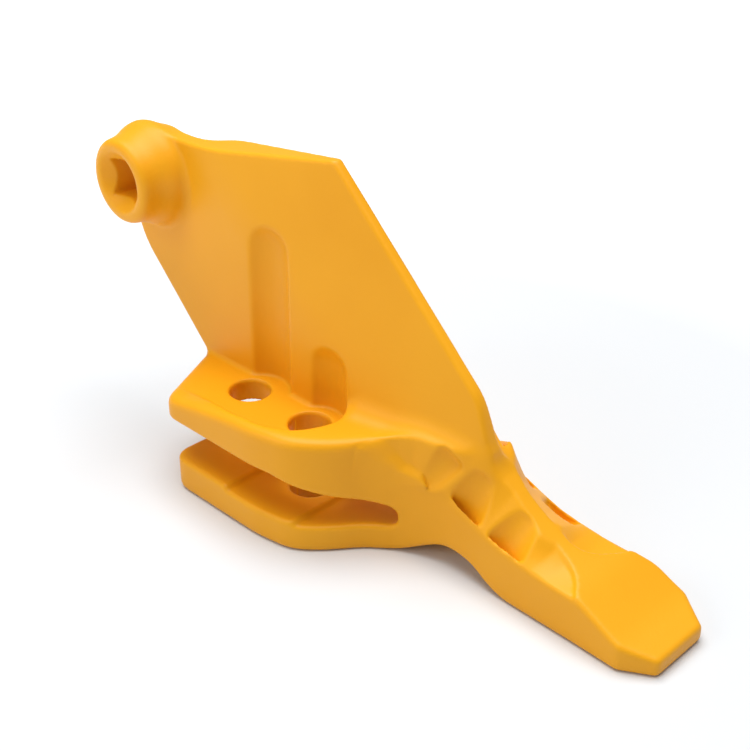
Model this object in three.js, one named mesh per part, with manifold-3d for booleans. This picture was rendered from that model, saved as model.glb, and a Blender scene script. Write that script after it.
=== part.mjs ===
// Bolt-on side cutter tooth for an excavator bucket: one steel casting.
// Millimetres, +X towards the digging tip, +Y outboard, +Z up. All dimensions below
// are measured from the axis of the front lip bolt hole, on the ground plane.
import * as THREE from 'three';
import { mergeVertices } from 'three/addons/utils/BufferGeometryUtils.js';
import { ConvexGeometry } from 'three/addons/geometries/ConvexGeometry.js';
import Module from 'manifold-3d';

// Lip fork: two jaws that grip the bucket's lip plate.
const LIP_BOLT_RADIUS = 11;
const LIP_BOLT_PITCH = 46.4;
const SLOT_CEILING = 41.4;
const SLOT_FLOOR = 19;
const SLOT_STEP = 2;
const SLOT_STEP_REAR_X = -28;
const SLOT_STEP_FRONT_X = 17;
const SLOT_END_X = 55;
const JAW_NEAR_Y = -37;
const LOWER_JAW_REAR_X = -71.5;
const LOWER_JAW_FAR_Y = 38;

// Pocket over the lip bolts, with room for a socket round each nut.
const POCKET_FLOOR = 54.3;
const RIM_TOP = 64.3;
const REAR_GROOVE = { x: -42.5, radius: 19, top: 150 };
const FRONT_GROOVE = { x: 1.5, radius: 17.5, top: 98 };

// Side blade: a plate that thickens to a wedge along its cutting edge.
const PLATE_NEAR_Y = 12;
const PLATE_FAR_Y = 22;
const BLADE_FAR_Y = 35;
const EDGE_NEAR_Y = 29;
const EDGE_ANGLE = THREE.MathUtils.degToRad(43.2);
const FOLD_OFFSET = 61.4;
const EDGE_OFFSET = 125.2;
const SHOULDER_RUN = 10;

// Bolt boss at the blade's rear corner.
const BOSS_X = -134.5;
const BOSS_Z = 148.3;
const BOSS_FACE_Y = -11.4;
const BOSS_RADIUS = 23.6;
const BOSS_ROOT_RADIUS = 28.5;
const BOSS_CORNER = 4;
const SEAT_MOUTH_RADIUS = 16.8;
const SQUARE_HOLE = 20;

// Nose: the digging point.
const NOSE_NEAR_Y = 15;
const NOSE_FAR_Y = 62;
const NECK_X = 44;
const NECK_FAR_Y = 57;
const SHOULDER_X = 183;
const SHOULDER_FAR_Y = 68.2;
const TIP_X = 198.9;
const TIP_NEAR_Y = 23.6;
const TIP_FAR_Y = 58.4;
const TIP_THICKNESS = 9.4;
const RIB_DRAFT = 2;
const SCALLOP_RADIUS = 13;
const SCALLOP_DEPTH = 3.2;
const SCALLOP_LENGTH = 17;
const SCALLOP_REACH = 6;
const SCALLOPS = [
  { x: 91, z: 42, slope: 44 },
  { x: 114, z: 34, slope: 38 },
];

const HEIGHT_LIMIT = 200;
const SIDE_LIMIT = 90;
const REAR_LIMIT = -180;
const ARC_STEPS = 6;
const ROUND_STEPS = 36;

const wasm = await Module();
wasm.setup();

// Closed three.js geometry to manifold solid.
function solid(geometry) {
  const bare = geometry.index ? geometry.toNonIndexed() : geometry.clone();
  bare.deleteAttribute('normal');
  bare.deleteAttribute('uv');
  const merged = mergeVertices(bare, 1e-4);
  return new wasm.Manifold(new wasm.Mesh({
    numProp: 3,
    vertProperties: new Float32Array(merged.attributes.position.array),
    triVerts: new Uint32Array(merged.index.array),
  }));
}

function union(first, ...others) {
  return others.reduce((whole, next) => whole.add(next), first);
}

function cut(first, ...others) {
  return others.reduce((whole, next) => whole.subtract(next), first);
}

// Closed outline from corners [x, y, radius]; a radius rounds that corner.
function outline(corners) {
  const shape = new THREE.Shape();
  corners.forEach(([x, y, radius = 0], index) => {
    const here = new THREE.Vector2(x, y);
    const before = new THREE.Vector2(...corners.at(index - 1));
    const after = new THREE.Vector2(...corners[(index + 1) % corners.length]);
    const start = here.clone().add(before.sub(here).setLength(radius));
    const end = here.clone().add(after.sub(here).setLength(radius));
    if (index === 0) shape.moveTo(start.x, start.y);
    else shape.lineTo(start.x, start.y);
    if (radius > 0) shape.quadraticCurveTo(x, y, end.x, end.y);
  });
  shape.closePath();
  return shape;
}

function extrude(corners, depth) {
  const options = { depth, bevelEnabled: false, curveSegments: ARC_STEPS };
  return new THREE.ExtrudeGeometry(outline(corners), options);
}

// Side-view outline (x, z) extruded between two y values.
function acrossY(corners, nearY, farY) {
  const geometry = extrude(corners, farY - nearY);
  return solid(geometry.rotateX(Math.PI / 2).translate(0, farY, 0));
}

// Plan outline (x, y) extruded between two heights.
function upZ(corners, low, high) {
  return solid(extrude(corners, high - low).translate(0, 0, low));
}

// Section in the (offset, y) plane, run along the blade's slanted cutting edge.
function alongEdge(corners) {
  const offset = new THREE.Vector3(Math.sin(EDGE_ANGLE), 0, Math.cos(EDGE_ANGLE));
  const side = new THREE.Vector3(0, 1, 0);
  const along = new THREE.Vector3().crossVectors(offset, side);
  const geometry = extrude(corners, 2 * HEIGHT_LIMIT).translate(0, 0, -HEIGHT_LIMIT);
  return solid(geometry.applyMatrix4(new THREE.Matrix4().makeBasis(offset, side, along)));
}

function hull(points) {
  return solid(new ConvexGeometry(points.map((point) => new THREE.Vector3(...point))));
}

function uprightRod(x, radius, low, high, steps = ROUND_STEPS) {
  const rod = new THREE.CylinderGeometry(radius, radius, high - low, steps);
  return solid(rod.rotateX(Math.PI / 2).translate(x, 0, (low + high) / 2));
}

function ball(x, y, z, radius) {
  return solid(new THREE.SphereGeometry(radius, 24, 16).translate(x, y, z));
}

// Upper jaw with its raised rim, from the rear edge to the start of the neck.
function upperJaw() {
  const plan = upZ([
    [-98, PLATE_FAR_Y], [-98, PLATE_NEAR_Y], [-73, JAW_NEAR_Y + 1, 7], [-5, -35, 8], [16, -31, 8],
    [31, -19, 8], [NECK_X, -1], [NECK_X, NECK_FAR_Y], [20, LOWER_JAW_FAR_Y], [-20, LOWER_JAW_FAR_Y],
  ], SLOT_FLOOR, RIM_TOP + 1);
  const profile = acrossY([
    [-100, SLOT_FLOOR], [NECK_X, SLOT_FLOOR], [NECK_X, 62.5], [32, RIM_TOP, 8], [5, RIM_TOP, 10],
    [-20, 62.5, 8], [-45, 58.5, 8], [-66, 54.6], [-100, 53.6],
  ], -SIDE_LIMIT, SIDE_LIMIT);
  return plan.intersect(profile);
}

function lowerJaw() {
  return upZ([
    [LOWER_JAW_REAR_X, LOWER_JAW_FAR_Y, 10], [LOWER_JAW_REAR_X, -36, 12], [-4, -35, 8], [18, -31, 8],
    [30, -20, 8], [NECK_X, -2], [NECK_X, NECK_FAR_Y], [20, LOWER_JAW_FAR_Y, 8],
  ], 0, SLOT_FLOOR + 1);
}

// Cross-sections of the neck and nose. The base runs between its near and far walls, with a
// lip along each and a slope up to the foot of the rib, which carries on from the blade.
const NOSE_STATIONS = [
  { x: NECK_X, walls: [-1, NECK_FAR_Y], lip: 60, foot: 61, rib: [1.5, NECK_FAR_Y], top: 64.3 },
  { x: 52, walls: [5, 59], lip: 52.5, foot: 54.5, rib: [9, 58], top: 66 },
  { x: 60, walls: [9.5, 60], lip: 49, foot: 51.5, rib: [13.2, 58], top: 66.5, low: 2.5 },
  { x: 68, walls: [12.5, 61], lip: 48.5, foot: 50.5, rib: [15.2, 55], top: 66.5, low: 7.5 },
  { x: 77, walls: [NOSE_NEAR_Y, NOSE_FAR_Y], lip: 43.5, foot: 49, rib: [18, 50], top: 66, low: 11.5 },
  { x: 87, walls: [NOSE_NEAR_Y, NOSE_FAR_Y], lip: 38, foot: 47.5, rib: [21.5, 43], top: 66, low: 12 },
  { x: 97, walls: [NOSE_NEAR_Y, NOSE_FAR_Y], lip: 33.5, foot: 45, rib: [28, 41], top: 60.5, low: 10 },
  { x: 104.5, walls: [NOSE_NEAR_Y, NOSE_FAR_Y], lip: 31, foot: 42.5, rib: [30, 39.5], top: 54.3, low: 6 },
  { x: 112, walls: [NOSE_NEAR_Y, NOSE_FAR_Y], lip: 29, foot: 39.5, rib: [31, 38], top: 49, low: 2 },
  { x: 128, walls: [NOSE_NEAR_Y, NOSE_FAR_Y], lip: 26.6, foot: 34.5, rib: [31, 38], top: 39.3 },
  { x: 137.5, walls: [NOSE_NEAR_Y, NOSE_FAR_Y], lip: 25.7, foot: 29.5, rib: [29.5, 38], top: 34 },
  { x: 143.5, walls: [NOSE_NEAR_Y, NOSE_FAR_Y], lip: 25.3, foot: 28, rib: [28, 40], top: 31.2 },
  { x: 152, walls: [NOSE_NEAR_Y, NOSE_FAR_Y], lip: 25.2, foot: 26.5, rib: [22.5, 50], top: 28.5 },
  { x: 157.5, walls: [14.4, 63], lip: 25.5, foot: 26, rib: [16, 61], top: 26.7 },
  { x: 166, walls: [14.2, 67.4], lip: 22.2, foot: 22.2, rib: [17, 65], top: 22.6 },
  { x: SHOULDER_X, walls: [13.8, SHOULDER_FAR_Y], lip: 14, foot: 14, rib: [17, 65], top: 14.3 },
  { x: TIP_X, walls: [TIP_NEAR_Y, TIP_FAR_Y], lip: TIP_THICKNESS },
];

function baseSection({ x, walls: [nearY, farY], lip, foot = lip, rib = [nearY, farY], low = 0 }) {
  return [
    [x, nearY, low], [x, farY, low], [x, nearY, lip], [x, farY, lip],
    [x, Math.max(rib[0] - RIB_DRAFT, nearY), foot], [x, Math.min(rib[1] + RIB_DRAFT, farY), foot],
  ];
}

function ribSection({ x, walls, lip, rib: [nearY, farY] = walls, top = lip, low = 0 }) {
  return [
    [x, Math.max(nearY - RIB_DRAFT, walls[0]), low], [x, Math.min(farY + RIB_DRAFT, walls[1]), low],
    [x, nearY, top], [x, farY, top],
  ];
}

// Neck and nose: a base that widens into the shovel tip, with a rib down its middle.
function noseStock() {
  return union(...[baseSection, ribSection].flatMap((section) => {
    const sections = NOSE_STATIONS.map(section);
    return sections.slice(1).map((next, index) => hull([...sections[index], ...next]));
  }));
}

function bladeStock() {
  const section = alongEdge([
    [-HEIGHT_LIMIT, PLATE_NEAR_Y], [FOLD_OFFSET, PLATE_NEAR_Y, 6], [EDGE_OFFSET, EDGE_NEAR_Y, 1.5],
    [EDGE_OFFSET, BLADE_FAR_Y, 1.5], [FOLD_OFFSET + SHOULDER_RUN / 2, BLADE_FAR_Y, 2],
    [FOLD_OFFSET - SHOULDER_RUN / 2, PLATE_FAR_Y, 2], [-HEIGHT_LIMIT, PLATE_FAR_Y],
  ]);
  const side = acrossY([
    [-86, SLOT_CEILING], [-98.5, 53.6], [-152, 108, 14], [-158.5, 148, 14], [-138, 172.5, 14],
    [-102, 172.4, 8], [-86, 173, 8], [-12, 182.5], [83.5, 91.2, 6], [87.4, 82.5], [91.8, 72.4],
    [95.5, 66.5], [98, 58], [98, 50], [60, 50], [30, SLOT_CEILING],
  ], PLATE_NEAR_Y - 1, BLADE_FAR_Y + 1);
  return section.intersect(side);
}

// Large fillet between the blade's near face and the top of the neck.
function bladeRoot() {
  return hull([
    [20, 1, RIM_TOP - 2], [20, 12.6, 74], [20, 26, RIM_TOP - 2], [20, 26, 74], [52, 10, 65.5],
    [68, 16, 66], [88, 22.5, 65], [80, 26, 81], [88, BLADE_FAR_Y, 65], [80, BLADE_FAR_Y, 81],
  ]);
}

function bossStock() {
  const profile = new THREE.Path();
  profile.moveTo(0, BOSS_FACE_Y);
  profile.lineTo(BOSS_RADIUS - BOSS_CORNER, BOSS_FACE_Y);
  profile.quadraticCurveTo(BOSS_RADIUS, BOSS_FACE_Y, BOSS_RADIUS, BOSS_FACE_Y + BOSS_CORNER);
  profile.quadraticCurveTo(BOSS_RADIUS + 0.5, PLATE_NEAR_Y - 10, BOSS_ROOT_RADIUS, PLATE_NEAR_Y - 4);
  profile.lineTo(BOSS_ROOT_RADIUS, PLATE_NEAR_Y);
  profile.lineTo(BOSS_RADIUS, PLATE_FAR_Y);
  profile.lineTo(0, PLATE_FAR_Y);
  const points = profile.getPoints(ARC_STEPS);
  return solid(new THREE.LatheGeometry(points, ROUND_STEPS).translate(BOSS_X, 0, BOSS_Z));
}

// Countersunk seat that narrows to a square hole, for a plough bolt.
function bossHole() {
  const over = 1;
  const throat = SQUARE_HOLE / 2;
  const depth = SEAT_MOUTH_RADIUS - throat;
  const seat = new THREE.CylinderGeometry(throat, SEAT_MOUTH_RADIUS + over, depth + over, ROUND_STEPS);
  seat.translate(BOSS_X, BOSS_FACE_Y + (depth - over) / 2, BOSS_Z);
  const length = PLATE_FAR_Y - BOSS_FACE_Y + 2 * over;
  const square = new THREE.BoxGeometry(SQUARE_HOLE, length, SQUARE_HOLE);
  square.translate(BOSS_X, (PLATE_FAR_Y + BOSS_FACE_Y) / 2, BOSS_Z);
  return union(solid(seat), solid(square));
}

// Open gap between the jaws, tapering towards its round closed end.
function lipSlot() {
  const middleFloor = SLOT_FLOOR - SLOT_STEP;
  const frontFloor = middleFloor - SLOT_STEP;
  return acrossY([
    [REAR_LIMIT, SLOT_FLOOR], [SLOT_STEP_REAR_X, SLOT_FLOOR],
    [SLOT_STEP_REAR_X + SLOT_STEP, middleFloor], [SLOT_STEP_FRONT_X, middleFloor],
    [SLOT_STEP_FRONT_X + SLOT_STEP, frontFloor], [SLOT_END_X, frontFloor, 5],
    [SLOT_END_X, 25.5, 5], [40, 30, 6], [8, SLOT_CEILING, 8], [REAR_LIMIT, SLOT_CEILING],
  ], -SIDE_LIMIT, SIDE_LIMIT);
}

function nutPocket() {
  return upZ([
    [-110, PLATE_NEAR_Y], [-110, -24], [-53, -24.5, 8], [-38, -26], [-24, -28, 6], [-6, -27.5, 6],
    [9, -22, 6], [16.6, -10, 6], [16.6, 2, 6], [14, PLATE_NEAR_Y],
  ], POCKET_FLOOR, RIM_TOP + 1);
}

// Upright round groove with a domed top, room for the socket on a lip bolt's nut.
function socketGroove({ x, radius, top }) {
  const rod = uprightRod(x, radius, POCKET_FLOOR, top - radius);
  return union(rod, ball(x, 0, top - radius, radius));
}

// Space for the bucket's side plate, behind the blade's shoulder.
function sidePlateRecess() {
  const band = alongEdge([
    [-2 * HEIGHT_LIMIT, PLATE_FAR_Y], [FOLD_OFFSET - SHOULDER_RUN / 2, PLATE_FAR_Y],
    [FOLD_OFFSET + SHOULDER_RUN / 2, BLADE_FAR_Y], [FOLD_OFFSET + SHOULDER_RUN / 2, SIDE_LIMIT],
    [-2 * HEIGHT_LIMIT, SIDE_LIMIT],
  ]);
  const above = acrossY([
    [REAR_LIMIT, SLOT_FLOOR + 6], [SLOT_END_X, SLOT_FLOOR + 6], [SLOT_END_X, HEIGHT_LIMIT],
    [REAR_LIMIT, HEIGHT_LIMIT],
  ], PLATE_FAR_Y - 1, SIDE_LIMIT);
  return band.intersect(above);
}

// Scalloped dimples along both flanks of the nose, each cut by a rod laid up the slope.
function noseDimples() {
  return SCALLOPS.flatMap(({ x, z, slope }) => [-1, 1].map((side) => {
    const tilt = THREE.MathUtils.degToRad(slope);
    const lift = SCALLOP_RADIUS - SCALLOP_DEPTH;
    const wallY = side < 0 ? NOSE_NEAR_Y : NOSE_FAR_Y;
    const rod = new THREE.CylinderGeometry(
      SCALLOP_RADIUS, SCALLOP_RADIUS, SCALLOP_LENGTH, ROUND_STEPS);
    rod.rotateX(-side * tilt);
    const reach = SCALLOP_REACH - lift * Math.sin(tilt);
    rod.translate(x, wallY - side * reach, z + lift * Math.cos(tilt));
    return solid(rod);
  }));
}

function casting() {
  const fork = union(upperJaw(), lowerJaw(), noseStock(), bladeRoot());
  const blade = union(bladeStock(), bossStock());
  const trimmed = cut(fork, sidePlateRecess(), lipSlot(), ...noseDimples());
  return cut(
    union(trimmed, blade), nutPocket(), bossHole(),
    socketGroove(REAR_GROOVE), socketGroove(FRONT_GROOVE),
    uprightRod(-LIP_BOLT_PITCH, LIP_BOLT_RADIUS, -1, POCKET_FLOOR + 1),
    uprightRod(0, LIP_BOLT_RADIUS, -1, POCKET_FLOOR + 1));
}

function toGeometry(shape) {
  const mesh = shape.getMesh();
  const geometry = new THREE.BufferGeometry();
  geometry.setAttribute('position', new THREE.BufferAttribute(mesh.vertProperties, 3));
  geometry.setIndex(new THREE.BufferAttribute(mesh.triVerts, 1));
  geometry.computeVertexNormals();
  geometry.computeBoundingBox();
  return geometry;
}

const paintedSteel = new THREE.MeshStandardMaterial({
  color: 0xe8a020, roughness: 0.45, metalness: 0.1,
});
const tooth = new THREE.Mesh(toGeometry(casting()), paintedSteel);
tooth.name = 'side_tooth_casting';

// The object's origin is the bottom centre of its bounding box.
const middle = tooth.geometry.boundingBox.getCenter(new THREE.Vector3());
tooth.position.set(-middle.x, -middle.y, -tooth.geometry.boundingBox.min.z);

const group = new THREE.Group();
group.add(tooth);

export default group;
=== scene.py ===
"""Bolt-on side cutter tooth of an excavator bucket, as one painted steel casting.

The skin of the casting is a distance field: a few outlines and planes, joined and cut with
rounded seams, turned into a mesh and moved onto the exact surface. Its lengths are in
millimetres from the axis of the front lip bolt hole, on the ground plane: +X to the digging
tip, +Y outboard, +Z up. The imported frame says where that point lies.
"""
import math

import bpy
import numpy as np
from mathutils import Euler, Matrix, Vector


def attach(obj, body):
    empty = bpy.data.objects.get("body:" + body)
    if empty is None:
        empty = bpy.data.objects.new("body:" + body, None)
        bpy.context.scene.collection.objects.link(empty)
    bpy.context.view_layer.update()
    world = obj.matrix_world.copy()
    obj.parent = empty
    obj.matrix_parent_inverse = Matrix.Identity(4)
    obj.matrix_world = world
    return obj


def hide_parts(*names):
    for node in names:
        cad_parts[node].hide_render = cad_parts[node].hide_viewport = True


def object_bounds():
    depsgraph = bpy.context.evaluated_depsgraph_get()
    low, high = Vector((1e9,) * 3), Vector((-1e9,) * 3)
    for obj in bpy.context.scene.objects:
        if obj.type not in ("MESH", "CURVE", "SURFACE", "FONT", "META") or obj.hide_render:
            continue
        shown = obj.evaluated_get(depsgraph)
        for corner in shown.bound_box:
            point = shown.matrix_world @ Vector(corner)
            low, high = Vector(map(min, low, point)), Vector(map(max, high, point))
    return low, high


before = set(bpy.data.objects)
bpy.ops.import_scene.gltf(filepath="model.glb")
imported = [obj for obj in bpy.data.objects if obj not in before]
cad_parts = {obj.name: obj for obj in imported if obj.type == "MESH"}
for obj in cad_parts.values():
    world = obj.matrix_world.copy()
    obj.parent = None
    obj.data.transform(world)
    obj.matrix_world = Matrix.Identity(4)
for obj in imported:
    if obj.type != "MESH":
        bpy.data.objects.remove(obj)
cad_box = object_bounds()

# Lip fork.
LIP_BOLT_RADIUS = 11.0
LIP_BOLT_PITCH = 46.4
SLOT_CEILING = 41.4
SLOT_FLOOR = 19.0
SLOT_STEP = 2.0
SLOT_STEP_REAR_X = -28.0
SLOT_STEP_FRONT_X = 17.0
SLOT_END_X = 55.0
# The upper and lower body overlap between these heights, ahead of the slot.
UPPER_BODY_FOOT = 22.0
LOWER_BODY_TOP = 27.0
LOWER_JAW_REAR_X = -71.5
LOWER_JAW_FAR_Y = 38.0
POCKET_FLOOR = 54.3
RIM_TOP = 64.3
# Socket grooves as (x, radius, top).
REAR_GROOVE = (-42.5, 19.0, 150.0)
FRONT_GROOVE = (1.5, 17.5, 98.0)

# Side blade.
PLATE_NEAR_Y = 12.0
PLATE_FAR_Y = 22.0
BLADE_FAR_Y = 35.0
EDGE_NEAR_Y = 29.0
EDGE_ANGLE = math.radians(43.2)
FOLD_OFFSET = 61.4
EDGE_OFFSET = 125.2
SHOULDER_RUN = 10.0
RECESS_FOOT = 25.0

# Bolt boss.
BOSS_X = -134.5
BOSS_Z = 148.3
BOSS_FACE_Y = -11.4
BOSS_RADIUS = 23.6
BOSS_ROOT_RADIUS = 28.5
SEAT_MOUTH_RADIUS = 16.8
SQUARE_HOLE = 20.0

# Nose.
RIB_CENTRE_Y = 34.5
FLANK_TOP = 72.0  # the flank cuts nothing above this
SHOULDER_X = 183.0
TIP_X = 198.9
NOSE_FAR_Y = 68.2

# Fillets and rounded edges. Those of blade and nose change along x, as (x, reach).
NECK_FILLET = [(8, 3.0), (22, 12.0), (50, 10.0), (90, 10.0), (106, 7.0)]
JAW_EDGE = [(30, 6.0), (80, 3.0)]
BOSS_FILLET = 5.0
CAST_EDGE = 3.0
SLOT_EDGE = 2.5
POCKET_EDGE = 2.5
BORE_EDGE = 1.5
GROOVE_EDGE = 1.2
CREST_EDGE = 1.4
DIMPLE_EDGE = 0.8
HOLE_EDGE = 1.0

VOXEL = 1.3
# Grid that holds the whole casting.
GRID_LOW = (-167.0, -39.0, -3.0)
GRID_HIGH = (203.0, 71.5, 186.5)
MM = 0.001

# Camera: focal length in mm, its place from the front bolt hole's foot, and where it looks.
CAMERA_LENS = 59.9
CAMERA_PLACE = (397.5, -356.8, 389.2)
CAMERA_AZIMUTH = math.radians(44.59)
CAMERA_ELEVATION = math.radians(29.9)
CAMERA_ROLL = math.radians(0.53)


def smooth_max(a, b, blend):
    """The larger of two distances, with the seam between them rounded over the blend."""
    near = np.maximum(blend - np.abs(a - b), 0.0) / blend
    return np.maximum(a, b) + near * near * blend * 0.25


def join(a, b, fillet):
    """Union of two solids with a fillet."""
    return -smooth_max(-a, -b, fillet)


def meet(a, b, rounding):
    """Intersection of two solids with a rounded edge."""
    return smooth_max(a, b, rounding)


def cut(a, tool, rounding):
    """One solid less another, with a rounded edge."""
    return smooth_max(a, -tool, rounding)


def outline(corners, steps=6):
    """Points of a closed outline. A corner (x, y, reach) is rounded from that far before it."""
    corners = [tuple(corner) + (0.0,) * (3 - len(corner)) for corner in corners]
    points = []
    for index, (x, y, reach) in enumerate(corners):
        here = np.array([x, y])
        before = np.array(corners[index - 1][:2]) - here
        after = np.array(corners[(index + 1) % len(corners)][:2]) - here
        if reach == 0:
            points.append(here)
            continue
        start = here + before * reach / np.hypot(*before)
        end = here + after * reach / np.hypot(*after)
        for t in np.linspace(0, 1, steps + 1):
            points.append(start * (1 - t) ** 2 + here * 2 * t * (1 - t) + end * t ** 2)
    return np.array(points)


def polygon(u, v, corners):
    """Signed distance to a closed outline in a plane, negative inside."""
    points = outline(corners)
    nearest = np.inf
    inside = False
    for (ax, ay), (bx, by) in zip(points, np.roll(points, -1, axis=0)):
        ex, ey = bx - ax, by - ay
        along = np.clip(((u - ax) * ex + (v - ay) * ey) / (ex * ex + ey * ey + 1e-12), 0, 1)
        nearest = np.minimum(nearest, np.hypot(u - ax - ex * along, v - ay - ey * along))
        if ay != by:
            crosses = ((ay > v) != (by > v)) & (u < ex * (v - ay) / ey + ax)
            inside = inside ^ crosses
    return np.where(inside, -nearest, nearest)


def curve(x, knots, reach=4.0):
    """Height along x through the given (x, height) knots, softened over the reach."""
    xs, heights = zip(*knots)
    shifts = np.linspace(-reach, reach, 5)
    return sum(np.interp(x + shift, xs, heights) for shift in shifts) / len(shifts)


# Plan outline of neck and nose, shared by both jaws, from the near side round to the far side.
FRONT_OUTLINE = [
    (43, -3, 6), (57, 8, 7), (77, 15, 10), (158, 14.4), (SHOULDER_X, 13.8, 2), (TIP_X, 23.6, 2),
    (TIP_X, 58.4, 2), (SHOULDER_X, NOSE_FAR_Y, 2), (166, 67.4, 4), (155, 62, 4), (78, 62, 10),
    (44, 57, 6), (20, LOWER_JAW_FAR_Y, 10),
]
UPPER_OUTLINE = [
    (-98, LOWER_JAW_FAR_Y), (-98, PLATE_NEAR_Y), (-73, -36, 7), (-5, -35, 8), (16, -31, 8),
    (31, -19, 8),
] + FRONT_OUTLINE
LOWER_OUTLINE = [
    (LOWER_JAW_REAR_X, LOWER_JAW_FAR_Y, 10), (LOWER_JAW_REAR_X, -36, 12), (-4, -35, 8),
    (18, -31, 8), (30, -20, 8),
] + FRONT_OUTLINE
POCKET_OUTLINE = [
    (-130, PLATE_NEAR_Y + 8), (-130, -24), (-53, -24.5, 8), (-38, -26), (-24, -28, 6),
    (-6, -27.5, 6), (9, -22, 6), (16.6, -10, 6), (16.6, 2, 6), (14, PLATE_NEAR_Y + 8),
]
# Heights along jaw, neck and nose, as (x, z).
TOP_HEIGHT = [
    (-100, 53.6), (-66, 54.6), (-45, 58.5), (-20, 62.5), (5, RIM_TOP), (32, RIM_TOP), (44, 64.5),
    (52, 66.2), (60, 67), (68, 66.6), (78, 65.6), (88, 64), (96, 60.8), (102, 56.2),
    (108.6, 51.6), (117, 45.6), (125, 40.8), (135.5, 35), (143.3, 31.6), (151.6, 28.7),
    (157.3, 26.8), (167, 22), (175, 18), (SHOULDER_X, 14.2), (199, 9.4),
]
BELLY_HEIGHT = [
    (50, 0), (57, 1), (66, 6), (77, 11.5), (86, 12), (97, 10), (108, 3), (116, 0.3), (122, 0),
]
# Near edge of rim, neck and rib, as (x, y) and (x, z); the far edge, as (x, y).
CREST_Y = [
    (34, -40), (38.5, -9.2), (44, 1.5), (52, 9), (60, 13.2), (68, 15), (78, 18), (86, 22),
    (92, 25.5), (96, 27.5), (102, 30), (108.6, 31), (125, 31), (135.5, 30), (143.3, 28),
    (148, 26), (151.6, 22.8), (155, 18.5), (157.3, 14.5), (160, 5), (163, -20),
]
CREST_Z = [
    (40, 64.3), (44, 64.8), (52, 66.5), (60, 67.4), (68, 67), (86, 66), (92, 63.5), (96, 61),
    (102, 55.8), (108.6, 51.3), (117, 45.2), (125, 40.5), (135.5, 34.7), (143.3, 31.2),
    (151.6, 28.6), (157.3, 26.9), (166, 22.4),
]
FAR_CREST_Y = [
    (52, 90), (60, 62), (66, 56), (77, 50), (85, 45), (93, 42), (98, 41), (104, 39.5),
    (111, 38), (137.5, 38), (143.3, 40), (148, 45), (152, 52), (156, 62), (159, 90),
]
# Foot of the flank, as (x, y) for the nose's side walls and (x, z) for the lip along their top,
# then the slope of the flank above it. The far flank takes a share of that slope.
WALL_Y = [
    (31, -19), (43, -3), (57, 8), (66, 12), (77, 15), (158, 14.4), (SHOULDER_X, 13.8),
    (TIP_X, 23.6),
]
FAR_WALL_Y = [(44, 57), (78, 62), (155, 62), (166, 67.4), (SHOULDER_X, NOSE_FAR_Y)]
WALL_TOP = [
    (38, 64.5), (44, 60), (48, 55), (55, 50.5), (62, 48.8), (68, 48.5), (72, 49), (74.5, 47),
    (77, 44), (86, 38.5), (101, 32.6), (114, 28.5), (125, 26.8), (140, 25.5), (155, 25.2),
    (166, 22),
]
FLANK_SLOPE = [
    (40, 0.5), (64, 0.7), (70, 2.2), (76.5, 2.6), (84, 2.2), (92, 1.7), (102, 1.3),
    (125.5, 1.1), (128, 0.9), (133, 0.55), (142, 0.3), (157, 0.1),
]
FAR_FLANK_SHARE = 0.45
# How steeply the wall under the crest rises, as (x, slope).
CREST_WALL_SLOPE = [(66, 12), (76, 6), (90, 5), (125, 4)]
# Ridges between the dimples lean forward as they climb, as (x, lean).
RIDGE_LEAN = [(60, 1.4), (88, 1.4), (102, 0.45), (125, 0.23), (150, 0.0)]
# Dimples as rods laid up the flank: (foot, head, radius, depth at foot, depth at head). The
# far ones are given as seen from the near side, mirrored about the middle of the nose.
NEAR_DIMPLES = [
    ((70.5, 11.5, 45.5), (81, 20.5, 62), 11.0, 2.5, 2.0),
    ((89.5, 15, 37.5), (97, 24, 55), 13.5, 5.5, 1.5),
    ((113.5, 15, 29), (118, 27, 44), 13.5, 5.5, 1.5),
]
FAR_DIMPLES = [
    ((89.5, 15, 37.5), (94, 25, 45.5), 13.5, 5.0, 4.0),
    ((113.5, 15, 29), (116.5, 26, 35), 13.5, 5.0, 4.0),
]
LIP_WIDTH = 1.2
LIP_FALL = -0.6  # rise of the lip for each step in x
NOSE_MIDDLE_Y = 38.5


def flank(x, inward, past_crest, steepness):
    """Height of the scooped flank, from distances in from the lip and past the crest."""
    inward = np.maximum(inward, -2)
    foot_x = x - np.interp(x, *zip(*RIDGE_LEAN)) * np.maximum(inward, 0)
    ledge = curve(foot_x, WALL_TOP, 1.0) + curve(foot_x, FLANK_SLOPE, 0.8) * steepness * inward
    crest_wall = curve(x, CREST_Z, 1.5) + np.interp(x, *zip(*CREST_WALL_SLOPE)) * past_crest
    return smooth_max(crest_wall, ledge, 2.5)


def flank_height(x, y):
    """Height of the near or far flank of neck and nose, whichever is on this side."""
    near = flank(x, y - np.interp(x, *zip(*WALL_Y)), y - curve(x, CREST_Y, 1.5), 1)
    far = flank(x, np.interp(x, *zip(*FAR_WALL_Y)) - y, curve(x, FAR_CREST_Y, 1.5) - y,
                FAR_FLANK_SHARE)
    return np.where(y < RIB_CENTRE_Y, near, far)


def below(height, x, y, z):
    """Rough distance to a surface given as a height over the plan."""
    here = height(x, y)
    step = 0.25
    rise_x = (height(x + step, y) - here) / step
    rise_y = (height(x, y + step) - here) / step
    return (z - here) / np.sqrt(1 + rise_x ** 2 + rise_y ** 2)


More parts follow.
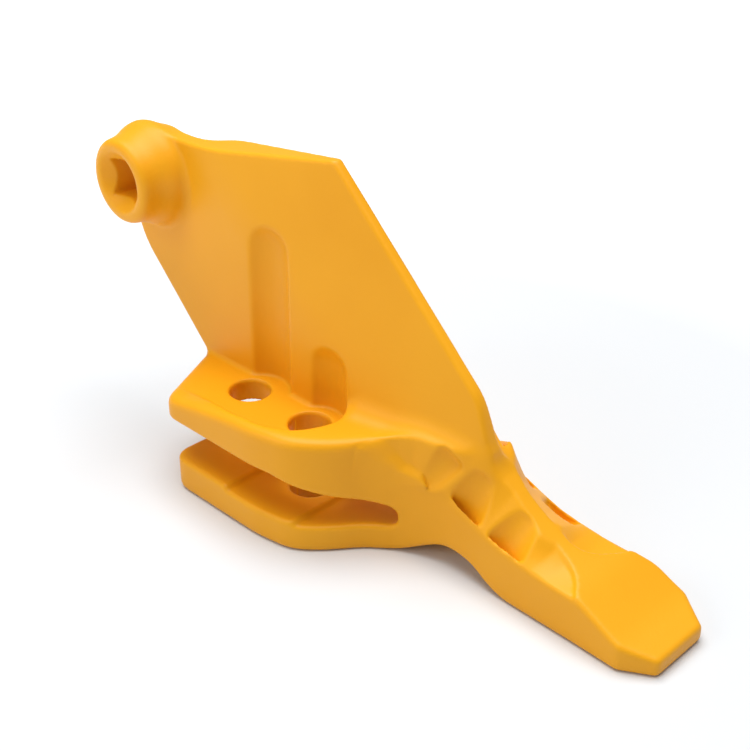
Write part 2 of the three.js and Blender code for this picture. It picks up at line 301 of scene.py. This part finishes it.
def dimple(x, y, z, foot, head, radius, foot_depth, head_depth):
    """Rod that cuts a dimple into the flank, behind the lip along its foot."""
    foot, head = np.array(foot), np.array(head)
    outward = np.cross((1, 0, LIP_FALL), head - foot)
    outward = outward / np.linalg.norm(outward)
    start = foot + outward * (radius - foot_depth)
    axis = head + outward * (radius - head_depth) - start
    length = np.linalg.norm(axis)
    dx, dy, dz = x - start[0], y - start[1], z - start[2]
    along = (dx * axis[0] + dy * axis[1] + dz * axis[2]) / length
    ring = np.sqrt(np.maximum(dx ** 2 + dy ** 2 + dz ** 2 - along ** 2, 0))
    rod = smooth_max(ring - radius, along - length, 4.0)
    return smooth_max(rod, foot[1] + LIP_WIDTH - y, 1.0)


def offset_to_edge(x, z):
    """Distance of a point from the bolt axis, square to the blade's cutting edge."""
    return x * math.sin(EDGE_ANGLE) + z * math.cos(EDGE_ANGLE)


def shoulder(x, y, z):
    """Sloping step on the blade's far side, against the bucket's side plate."""
    lean = math.atan2(SHOULDER_RUN, BLADE_FAR_Y - PLATE_FAR_Y)
    middle = (PLATE_FAR_Y + BLADE_FAR_Y) / 2
    u = FOLD_OFFSET - offset_to_edge(x, z)
    return u * math.cos(lean) + (y - middle) * math.sin(lean)


def fork_and_nose(x, y, z):
    top = below(lambda x, y: curve(x, TOP_HEIGHT) + 0 * y, x, y, z)
    upper = meet(polygon(x, y, UPPER_OUTLINE), top, np.interp(x, *zip(*JAW_EDGE)))
    upper = np.maximum(upper, UPPER_BODY_FOOT - z)
    floor = curve(x, BELLY_HEIGHT) - z
    lower = meet(polygon(x, y, LOWER_OUTLINE), floor, 3.5)
    lower = meet(np.maximum(lower, z - LOWER_BODY_TOP), top, CAST_EDGE)
    body = np.minimum(upper, lower)
    recess = np.maximum(-shoulder(x, y, z), np.maximum(PLATE_FAR_Y - y, RECESS_FOOT - z))
    body = cut(body, recess, CAST_EDGE)
    middle_floor = SLOT_FLOOR - SLOT_STEP
    front_floor = middle_floor - SLOT_STEP
    slot = polygon(x, z, [
        (-200, SLOT_FLOOR), (SLOT_STEP_REAR_X, SLOT_FLOOR),
        (SLOT_STEP_REAR_X + SLOT_STEP, middle_floor), (SLOT_STEP_FRONT_X, middle_floor),
        (SLOT_STEP_FRONT_X + SLOT_STEP, front_floor), (SLOT_END_X, front_floor, 5.4),
        (SLOT_END_X, 25.8, 5.4), (40, 30, 6), (8, SLOT_CEILING, 8), (-200, SLOT_CEILING),
    ])
    body = cut(body, slot, SLOT_EDGE)
    pocket = meet(polygon(x, y, POCKET_OUTLINE), POCKET_FLOOR - z, CAST_EDGE)
    return cut(body, pocket, POCKET_EDGE)


def blade(x, y, z):
    u = offset_to_edge(x, z)
    taper = (EDGE_NEAR_Y - PLATE_NEAR_Y) / (EDGE_OFFSET - FOLD_OFFSET)
    bevel = (PLATE_NEAR_Y + (u - FOLD_OFFSET) * taper - y) / math.hypot(1, taper)
    near = smooth_max(PLATE_NEAR_Y - y, bevel, 3.0)
    thick = meet(y - BLADE_FAR_Y, shoulder(x, y, z), 4.0)
    far = join(y - PLATE_FAR_Y, thick, 6.0)
    side = polygon(x, z, [
        (-86, 44), (-98.5, 53.6, 3), (-152, 108, 14), (-158.5, 148, 14), (-138, 172.5, 14),
        (-102, 172.4, 8), (-86, 173, 8), (-11.5, 182.5, 2), (84, 91.5, 6), (88, 83, 2),
        (92.3, 73, 2), (95, 67), (95, 50), (60, 48), (30, 44),
    ])
    edge = smooth_max(side, u - EDGE_OFFSET, 1.0)
    return meet(smooth_max(near, far, 1.5), edge, 2.0)


def boss(x, y, z):
    ring = np.hypot(x - BOSS_X, z - BOSS_Z)
    return polygon(ring, y, [
        (-5, BOSS_FACE_Y), (BOSS_RADIUS - 1, BOSS_FACE_Y, 4.5), (BOSS_RADIUS, -2, 4),
        (BOSS_ROOT_RADIUS, 8, 4), (BOSS_ROOT_RADIUS, 13, 3), (BOSS_RADIUS, PLATE_FAR_Y, 1.5),
        (-5, PLATE_FAR_Y),
    ])


def boss_hole(x, y, z):
    across, up = np.abs(x - BOSS_X), np.abs(z - BOSS_Z)
    square = smooth_max(across, up, 1.0) - SQUARE_HOLE / 2
    ring = np.hypot(across, up)
    cone = (ring - SEAT_MOUTH_RADIUS + (y - BOSS_FACE_Y)) * math.sqrt(0.5)
    return np.minimum(square, cone)


def bore(x, y, centre_x, radius):
    return np.hypot(x - centre_x, y) - radius


def socket_groove(x, y, z, centre_x, radius, top):
    """Upright round groove with a domed top, which clears the socket on a nut."""
    above = np.maximum(z - (top - radius), 0)
    rod = np.sqrt((x - centre_x) ** 2 + y ** 2 + above ** 2) - radius
    return np.maximum(rod, POCKET_FLOOR - z)


def casting(x, y, z):
    """Distance to the surface of the whole casting, negative in the metal."""
    body = fork_and_nose(x, y, z)
    whole = join(body, blade(x, y, z), np.interp(x, *zip(*NECK_FILLET)))
    whole = meet(whole, np.minimum(below(flank_height, x, y, z), FLANK_TOP - z), CREST_EDGE)
    for rod in NEAR_DIMPLES:
        whole = cut(whole, dimple(x, y, z, *rod), DIMPLE_EDGE)
    for rod in FAR_DIMPLES:
        whole = cut(whole, dimple(x, 2 * NOSE_MIDDLE_Y - y, z, *rod), DIMPLE_EDGE)
    whole = join(whole, boss(x, y, z), BOSS_FILLET)
    whole = cut(whole, boss_hole(x, y, z), HOLE_EDGE)
    groove = np.minimum(
        socket_groove(x, y, z, *REAR_GROOVE), socket_groove(x, y, z, *FRONT_GROOVE))
    whole = cut(whole, groove, np.clip((z - POCKET_FLOOR) / 2, 0.05, GROOVE_EDGE))
    for centre_x in (0, -LIP_BOLT_PITCH):
        whole = cut(whole, bore(x, y, centre_x, LIP_BOLT_RADIUS), BORE_EDGE)
    return whole


def surface_net(field):
    """Quads around every grid edge that crosses the surface, with one point per cell."""
    cells = np.array(field.shape) - 1
    inside = field < 0
    rings, crossings = [], []
    for axis in range(3):
        ahead = [slice(None)] * 3
        behind = [slice(None)] * 3
        ahead[axis] = slice(1, None)
        behind[axis] = slice(None, -1)
        starts_inside = inside[tuple(behind)]
        index = np.array(np.nonzero(starts_inside != inside[tuple(ahead)]))
        first = field[tuple(behind)][tuple(index)]
        second = field[tuple(ahead)][tuple(index)]
        point = index.astype(float)
        point[axis] += first / (first - second)
        ring = []
        for turn in ((0, 0), (-1, 0), (-1, -1), (0, -1)):
            cell = index.copy()
            cell[(axis + 1) % 3] += turn[0]
            cell[(axis + 2) % 3] += turn[1]
            ring.append(np.ravel_multi_index(tuple(cell), tuple(cells)))
        ring = np.array(ring).T
        flipped = ~starts_inside[tuple(index)]
        ring[flipped] = ring[flipped][:, ::-1]
        rings.append(ring)
        crossings.append(point.T)
    rings, crossings = np.concatenate(rings), np.concatenate(crossings)
    _, corner = np.unique(rings.ravel(), return_inverse=True)
    shared = np.bincount(corner)
    points = np.array([
        np.bincount(corner, np.repeat(crossings[:, axis], 4)) / shared for axis in range(3)
    ]).T
    return points, corner.reshape(-1, 4)


def settle(points, rounds=3):
    """Moves points onto the surface, along the slope of the distance field."""
    step = 0.05
    for _ in range(rounds):
        value = casting(*points.T)
        slope = np.array([
            (casting(*(points + step * way).T) - value) / step for way in np.eye(3)
        ]).T
        length = np.maximum((slope ** 2).sum(axis=1), 0.05)
        move = np.clip(value / length, -VOXEL / 2, VOXEL / 2)
        points = points - slope * move[:, None]
    return points


def frame_origin():
    """Where the casting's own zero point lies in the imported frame, in millimetres."""
    high = np.array(cad_box[1]) / MM
    low = np.array(cad_box[0]) / MM
    return np.array([high[0] - TIP_X, high[1] - NOSE_FAR_Y, low[2]])


def make_casting():
    x, y, z = [np.arange(low, high, VOXEL) for low, high in zip(GRID_LOW, GRID_HIGH)]
    field = casting(x[:, None, None], y[None, :, None], z[None, None, :])
    points, quads = surface_net(field)
    points = settle(np.array(GRID_LOW) + points * VOXEL)
    mesh = bpy.data.meshes.new("side_tooth_casting_skin")
    mesh.from_pydata(((points + frame_origin()) * MM).tolist(), [], quads.tolist())
    mesh.shade_smooth()
    print("casting skin:", len(quads) * 2, "triangles")
    skin = bpy.data.objects.new("casting_skin", mesh)
    bpy.context.collection.objects.link(skin)
    return skin


def paint_material():
    material = bpy.data.materials.new("orange_yellow_enamel")
    material.use_nodes = True
    nodes, links = material.node_tree.nodes, material.node_tree.links
    shader = nodes["Principled BSDF"]
    shader.inputs["Roughness"].default_value = 0.42
    shader.inputs["Specular IOR Level"].default_value = 0.25
    place = nodes.new("ShaderNodeTexCoord")
    tint = nodes.new("ShaderNodeTexNoise")
    tint.inputs["Scale"].default_value = 9.0
    tint.inputs["Detail"].default_value = 3.0
    ramp = nodes.new("ShaderNodeValToRGB")
    ramp.color_ramp.elements[0].position = 0.3
    ramp.color_ramp.elements[0].color = (0.80, 0.340, 0.004, 1)
    ramp.color_ramp.elements[1].position = 0.7
    ramp.color_ramp.elements[1].color = (0.86, 0.385, 0.009, 1)
    grain = nodes.new("ShaderNodeTexNoise")
    grain.inputs["Scale"].default_value = 650.0
    grain.inputs["Detail"].default_value = 3.0
    bump = nodes.new("ShaderNodeBump")
    bump.inputs["Strength"].default_value = 0.25
    bump.inputs["Distance"].default_value = 0.0003
    links.new(place.outputs["Object"], tint.inputs["Vector"])
    links.new(place.outputs["Object"], grain.inputs["Vector"])
    links.new(tint.outputs["Fac"], ramp.inputs["Fac"])
    links.new(ramp.outputs["Color"], shader.inputs["Base Color"])
    links.new(grain.outputs["Fac"], bump.inputs["Height"])
    links.new(bump.outputs["Normal"], shader.inputs["Normal"])
    return material


def make_floor():
    half = 6.0
    mesh = bpy.data.meshes.new("studio_floor")
    mesh.from_pydata(
        [(-half, -half, 0), (half, -half, 0), (half, half, 0), (-half, half, 0)], [],
        [(0, 1, 2, 3)])
    floor = bpy.data.objects.new("studio_floor", mesh)
    bpy.context.collection.objects.link(floor)
    material = bpy.data.materials.new("pale_floor")
    material.use_nodes = True
    nodes, links = material.node_tree.nodes, material.node_tree.links
    shader = nodes["Principled BSDF"]
    shader.inputs["Roughness"].default_value = 0.9
    shader.inputs["Specular IOR Level"].default_value = 0.1
    # White emission for the painted floor light set up below.
    shader.inputs["Emission Color"].default_value = (1, 1, 1, 1)
    place = nodes.new("ShaderNodeTexCoord")
    reach = nodes.new("ShaderNodeVectorMath")
    reach.operation = "LENGTH"
    # Painted shade: the floor's colour is darker and cooler within 0.3 m of the origin under the
    # casting and lightens out to 0.8 m, standing in for its shadow.
    painted_shade_ramp = nodes.new("ShaderNodeValToRGB")
    painted_shade_ramp.color_ramp.elements[0].position = 0.3
    painted_shade_ramp.color_ramp.elements[0].color = (0.70, 0.72, 0.74, 1)
    painted_shade_ramp.color_ramp.elements[1].position = 0.8
    painted_shade_ramp.color_ramp.elements[1].color = (0.92, 0.92, 0.92, 1)
    # Painted light: the floor glows, more strongly from 0.3 m out to 1.1 m from the origin, so
    # the floor far from the casting reads brighter.
    painted_floor_glow = nodes.new("ShaderNodeMapRange")
    painted_floor_glow.inputs["From Min"].default_value = 0.3
    painted_floor_glow.inputs["From Max"].default_value = 1.1
    painted_floor_glow.inputs["To Min"].default_value = 0.0
    painted_floor_glow.inputs["To Max"].default_value = 0.5
    links.new(place.outputs["Object"], reach.inputs[0])
    links.new(reach.outputs["Value"], painted_shade_ramp.inputs["Fac"])
    links.new(reach.outputs["Value"], painted_floor_glow.inputs["Value"])
    links.new(painted_shade_ramp.outputs["Color"], shader.inputs["Base Color"])
    links.new(painted_floor_glow.outputs["Result"], shader.inputs["Emission Strength"])
    mesh.materials.append(material)


def area_light(name, place, target, size, watts):
    data = bpy.data.lights.new(name, "AREA")
    data.shape = "SQUARE"
    data.size = size
    data.energy = watts
    light = bpy.data.objects.new(name, data)
    light.location = place
    light.rotation_euler = (Vector(target) - Vector(place)).to_track_quat("-Z", "Y").to_euler()
    bpy.context.collection.objects.link(light)


def make_lights():
    world = bpy.data.worlds.new("studio")
    world.use_nodes = True
    world.node_tree.nodes["Background"].inputs["Color"].default_value = (1, 1, 1, 1)
    world.node_tree.nodes["Background"].inputs["Strength"].default_value = 0.25
    bpy.context.scene.world = world
    area_light("overhead_softbox", (-0.2, 0.1, 2.2), (0, 0, 0), 1.9, 66.0)
    area_light("front_fill", (-0.5, -1.5, 0.9), (0, 0, 0.05), 1.0, 8.0)


def make_camera():
    data = bpy.data.cameras.new("camera")
    data.lens = CAMERA_LENS
    data.sensor_width = 36.0
    camera = bpy.data.objects.new("camera", data)
    level = Euler((math.pi / 2 - CAMERA_ELEVATION, 0, CAMERA_AZIMUTH)).to_matrix()
    camera.location = (frame_origin() + np.array(CAMERA_PLACE)) * MM
    camera.rotation_euler = (level @ Matrix.Rotation(CAMERA_ROLL, 3, "Z")).to_euler()
    bpy.context.collection.objects.link(camera)
    bpy.context.scene.camera = camera


make_camera()
make_lights()
make_floor()
skin = make_casting()
skin.data.materials.append(paint_material())
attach(skin, "root")
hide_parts("side_tooth_casting")
bpy.context.scene.view_settings.view_transform = "Standard"
